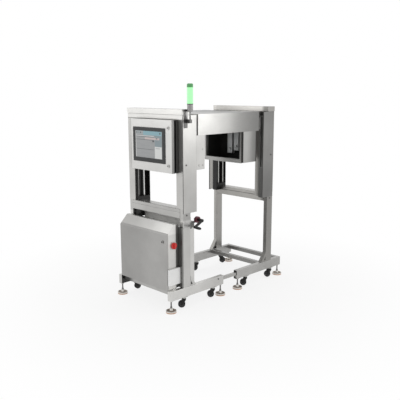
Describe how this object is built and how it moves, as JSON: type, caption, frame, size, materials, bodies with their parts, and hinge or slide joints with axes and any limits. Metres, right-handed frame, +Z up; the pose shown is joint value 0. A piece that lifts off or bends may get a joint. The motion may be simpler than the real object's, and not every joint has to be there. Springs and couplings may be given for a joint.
{
  "type": "vision inspection machine",
  "caption": "Frame on levelling feet and castors with two towers, a crank-lifted head with camera and light hoods, an operator screen box, an electrical cabinet and a signal light.",
  "frame": {"origin": "on the floor, in the middle of the machine's outline; the frame's own middle plane is at X = -0.04 m", "axes": "+X along the conveyor towards the crank side, -Y towards the operator, +Z up"},
  "size_m": [0.8409, 1.548, 1.906],
  "materials": {
    "brushed_sheet": "brushed stainless sheet and tube",
    "bright_steel": "ground bright steel",
    "foot_steel": "turned steel with a tan pad ring",
    "black_metal": "satin black",
    "black_tyre": "black tread",
    "black_plastic": "moulded black",
    "maroon_plastic": "dark red dial",
    "grey_plastic": "control modules on a zinc plate",
    "white_metal": "white powder coat",
    "grey_metal": "satin grey",
    "green_lens": "translucent green lens",
    "dark_cap": "dark green cap",
    "red_plastic": "red moulded"
  },
  "bodies": {
    "frame": {"base_front": "brushed_sheet", "base_rear": "brushed_sheet", "link_bars": "bright_steel", "tower_front": "brushed_sheet", "tower_rear": "brushed_sheet", "side_covers": "brushed_sheet", "guides": "black_metal", "guide_rods": "bright_steel", "lift_gearboxes": "black_metal", "shaft_housing": "brushed_sheet", "position_indicator": "maroon_plastic", "cabinet_body": "brushed_sheet", "cabinet_plate": "grey_plastic", "vent_cover": "white_metal", "hmi_housing": "brushed_sheet", "stack_bracket": "grey_metal", "stack_lens": "green_lens", "stack_cap": "dark_cap", "frame_bolts": "bright_steel"},
    "head": {"head_frame": "brushed_sheet", "bridge_cover": "brushed_sheet", "hood_front": "brushed_sheet", "hood_rear": "brushed_sheet", "vision_units": "grey_metal"},
    "screw_near": {"lead_screw_near": "bright_steel"},
    "screw_far": {"lead_screw_far": "bright_steel"},
    "shaft": {"cross_shaft": "bright_steel"},
    "crank": {"crank_arm": "black_plastic"},
    "grip": {"crank_grip": "black_plastic"},
    "cabinet_door": {"cabinet_door": "brushed_sheet"},
    "cabinet_lock": {"cabinet_lock": "bright_steel"},
    "main_switch": {"main_switch": "red_plastic"},
    "hmi_door": {"hmi_door": "brushed_sheet", "hmi_panel": "black_plastic"},
    "hmi_lock_upper": {"hmi_lock_upper": "bright_steel"},
    "hmi_lock_lower": {"hmi_lock_lower": "bright_steel"},
    "castor_fork_near_1": {"castor_fork_near_1": "black_plastic"},
    "castor_wheel_near_1": {"castor_wheel_near_1": "black_tyre"},
    "castor_fork_near_2": {"castor_fork_near_2": "black_plastic"},
    "castor_wheel_near_2": {"castor_wheel_near_2": "black_tyre"},
    "castor_fork_near_3": {"castor_fork_near_3": "black_plastic"},
    "castor_wheel_near_3": {"castor_wheel_near_3": "black_tyre"},
    "castor_fork_near_4": {"castor_fork_near_4": "black_plastic"},
    "castor_wheel_near_4": {"castor_wheel_near_4": "black_tyre"},
    "foot_near_1": {"foot_near_1": "foot_steel"},
    "foot_near_2": {"foot_near_2": "foot_steel"},
    "foot_near_3": {"foot_near_3": "foot_steel"},
    "foot_near_4": {"foot_near_4": "foot_steel"},
    "castor_fork_far_1": {"castor_fork_far_1": "black_plastic"},
    "castor_wheel_far_1": {"castor_wheel_far_1": "black_tyre"},
    "castor_fork_far_2": {"castor_fork_far_2": "black_plastic"},
    "castor_wheel_far_2": {"castor_wheel_far_2": "black_tyre"},
    "castor_fork_far_3": {"castor_fork_far_3": "black_plastic"},
    "castor_wheel_far_3": {"castor_wheel_far_3": "black_tyre"},
    "castor_fork_far_4": {"castor_fork_far_4": "black_plastic"},
    "castor_wheel_far_4": {"castor_wheel_far_4": "black_tyre"},
    "foot_far_1": {"foot_far_1": "foot_steel"},
    "foot_far_2": {"foot_far_2": "foot_steel"},
    "foot_far_3": {"foot_far_3": "foot_steel"},
    "foot_far_4": {"foot_far_4": "foot_steel"}
  },
  "joints": [
    {"name": "head_lift", "type": "slide", "parent": "frame", "child": "head", "axis": [0, 0, 1], "range_m": [-0.29, 0]},
    {"name": "screw_near_turn", "type": "hinge", "parent": "frame", "child": "screw_near", "pos_m": [0.288, -0.497, 1.2], "axis": [0, 0, 1], "range_deg": [-5221, 0]},
    {"name": "screw_far_turn", "type": "hinge", "parent": "frame", "child": "screw_far", "pos_m": [-0.317, -0.497, 1.2], "axis": [0, 0, 1], "range_deg": [-5221, 0]},
    {"name": "shaft_turn", "type": "hinge", "parent": "frame", "child": "shaft", "pos_m": [-0.04, -0.497, 0.755], "axis": [1, 0, 0], "range_deg": [-5221, 0]},
    {"name": "crank_turn", "type": "hinge", "parent": "frame", "child": "crank", "pos_m": [0.29, -0.41, 0.755], "axis": [1, 0, 0], "range_deg": [-5221, 0]},
    {"name": "grip_spin", "type": "hinge", "parent": "crank", "child": "grip", "pos_m": [0.386, -0.4998, 0.711], "axis": [1, 0, 0], "continuous": true},
    {"name": "cabinet_door_swing", "type": "hinge", "parent": "frame", "child": "cabinet_door", "pos_m": [-0.359, -0.7413, 0.43], "axis": [0, 0, -1], "range_deg": [0, 110]},
    {"name": "cabinet_lock_turn", "type": "hinge", "parent": "cabinet_door", "child": "cabinet_lock", "pos_m": [0.219, -0.745, 0.606], "axis": [0, 1, 0], "range_deg": [0, 90]},
    {"name": "main_switch_turn", "type": "hinge", "parent": "frame", "child": "main_switch", "pos_m": [0.285, -0.678, 0.571], "axis": [1, 0, 0], "range_deg": [0, 90]},
    {"name": "hmi_door_swing", "type": "hinge", "parent": "frame", "child": "hmi_door", "pos_m": [-0.274, -0.65, 1.395], "axis": [0, 0, -1], "range_deg": [0, 110]},
    {"name": "hmi_lock_upper_turn", "type": "hinge", "parent": "hmi_door", "child": "hmi_lock_upper", "pos_m": [0.216, -0.665, 1.549], "axis": [0, 1, 0], "range_deg": [0, 90]},
    {"name": "hmi_lock_lower_turn", "type": "hinge", "parent": "hmi_door", "child": "hmi_lock_lower", "pos_m": [0.216, -0.665, 1.236], "axis": [0, 1, 0], "range_deg": [0, 90]},
    {"name": "castor_swivel_near_1", "type": "hinge", "parent": "frame", "child": "castor_fork_near_1", "pos_m": [0.295, -0.577, 0.085], "axis": [0, 0, 1], "continuous": true},
    {"name": "castor_roll_near_1", "type": "hinge", "parent": "castor_fork_near_1", "child": "castor_wheel_near_1", "pos_m": [0.27944, -0.59256, 0.036], "axis": [0.7071, -0.7071, 0], "continuous": true},
    {"name": "castor_swivel_near_2", "type": "hinge", "parent": "frame", "child": "castor_fork_near_2", "pos_m": [0.295, -0.217, 0.085], "axis": [0, 0, 1], "continuous": true},
    {"name": "castor_roll_near_2", "type": "hinge", "parent": "castor_fork_near_2", "child": "castor_wheel_near_2", "pos_m": [0.28086, -0.23385, 0.036], "axis": [0.766, -0.6428, 0], "continuous": true},
    {"name": "castor_swivel_near_3", "type": "hinge", "parent": "frame", "child": "castor_fork_near_3", "pos_m": [0.295, 0.235, 0.085], "axis": [0, 0, 1], "continuous": true},
    {"name": "castor_roll_near_3", "type": "hinge", "parent": "castor_fork_near_3", "child": "castor_wheel_near_3", "pos_m": [0.27815, 0.22086, 0.036], "axis": [0.6428, -0.766, 0], "continuous": true},
    {"name": "castor_swivel_near_4", "type": "hinge", "parent": "frame", "child": "castor_fork_near_4", "pos_m": [0.295, 0.602, 0.085], "axis": [0, 0, 1], "continuous": true},
    {"name": "castor_roll_near_4", "type": "hinge", "parent": "castor_fork_near_4", "child": "castor_wheel_near_4", "pos_m": [0.284, 0.58295, 0.036], "axis": [0.866, -0.5, 0], "continuous": true},
    {"name": "foot_near_1_adjust", "type": "slide", "parent": "frame", "child": "foot_near_1", "axis": [0, 0, 1], "range_m": [0, 0.018]},
    {"name": "foot_near_2_adjust", "type": "slide", "parent": "frame", "child": "foot_near_2", "axis": [0, 0, 1], "range_m": [0, 0.018]},
    {"name": "foot_near_3_adjust", "type": "slide", "parent": "frame", "child": "foot_near_3", "axis": [0, 0, 1], "range_m": [0, 0.018]},
    {"name": "foot_near_4_adjust", "type": "slide", "parent": "frame", "child": "foot_near_4", "axis": [0, 0, 1], "range_m": [0, 0.018]},
    {"name": "castor_swivel_far_1", "type": "hinge", "parent": "frame", "child": "castor_fork_far_1", "pos_m": [-0.375, -0.577, 0.085], "axis": [0, 0, 1], "continuous": true},
    {"name": "castor_roll_far_1", "type": "hinge", "parent": "castor_fork_far_1", "child": "castor_wheel_far_1", "pos_m": [-0.37118, -0.55533, 0.036], "axis": [-0.9848, 0.1736, 0], "continuous": true},
    {"name": "castor_swivel_far_2", "type": "hinge", "parent": "frame", "child": "castor_fork_far_2", "pos_m": [-0.375, -0.217, 0.085], "axis": [0, 0, 1], "continuous": true},
    {"name": "castor_roll_far_2", "type": "hinge", "parent": "castor_fork_far_2", "child": "castor_wheel_far_2", "pos_m": [-0.39056, -0.23256, 0.036], "axis": [0.7071, -0.7071, 0], "continuous": true},
    {"name": "castor_swivel_far_3", "type": "hinge", "parent": "frame", "child": "castor_fork_far_3", "pos_m": [-0.375, 0.235, 0.085], "axis": [0, 0, 1], "continuous": true},
    {"name": "castor_roll_far_3", "type": "hinge", "parent": "castor_fork_far_3", "child": "castor_wheel_far_3", "pos_m": [-0.38252, 0.21433, 0.036], "axis": [0.9397, -0.342, 0], "continuous": true},
    {"name": "castor_swivel_far_4", "type": "hinge", "parent": "frame", "child": "castor_fork_far_4", "pos_m": [-0.375, 0.602, 0.085], "axis": [0, 0, 1], "continuous": true},
    {"name": "castor_roll_far_4", "type": "hinge", "parent": "castor_fork_far_4", "child": "castor_wheel_far_4", "pos_m": [-0.36931, 0.62325, 0.036], "axis": [-0.9659, 0.2588, 0], "continuous": true},
    {"name": "foot_far_1_adjust", "type": "slide", "parent": "frame", "child": "foot_far_1", "axis": [0, 0, 1], "range_m": [0, 0.018]},
    {"name": "foot_far_2_adjust", "type": "slide", "parent": "frame", "child": "foot_far_2", "axis": [0, 0, 1], "range_m": [0, 0.018]},
    {"name": "foot_far_3_adjust", "type": "slide", "parent": "frame", "child": "foot_far_3", "axis": [0, 0, 1], "range_m": [0, 0.018]},
    {"name": "foot_far_4_adjust", "type": "slide", "parent": "frame", "child": "foot_far_4", "axis": [0, 0, 1], "range_m": [0, 0.018]}
  ],
  "couplings": [
    {"joint": "screw_near_turn", "follows": "head_lift", "rad_per_m": 314.16},
    {"joint": "screw_far_turn", "follows": "head_lift", "rad_per_m": 314.16},
    {"joint": "shaft_turn", "follows": "head_lift", "rad_per_m": 314.16},
    {"joint": "crank_turn", "follows": "head_lift", "rad_per_m": 314.16}
  ]
}
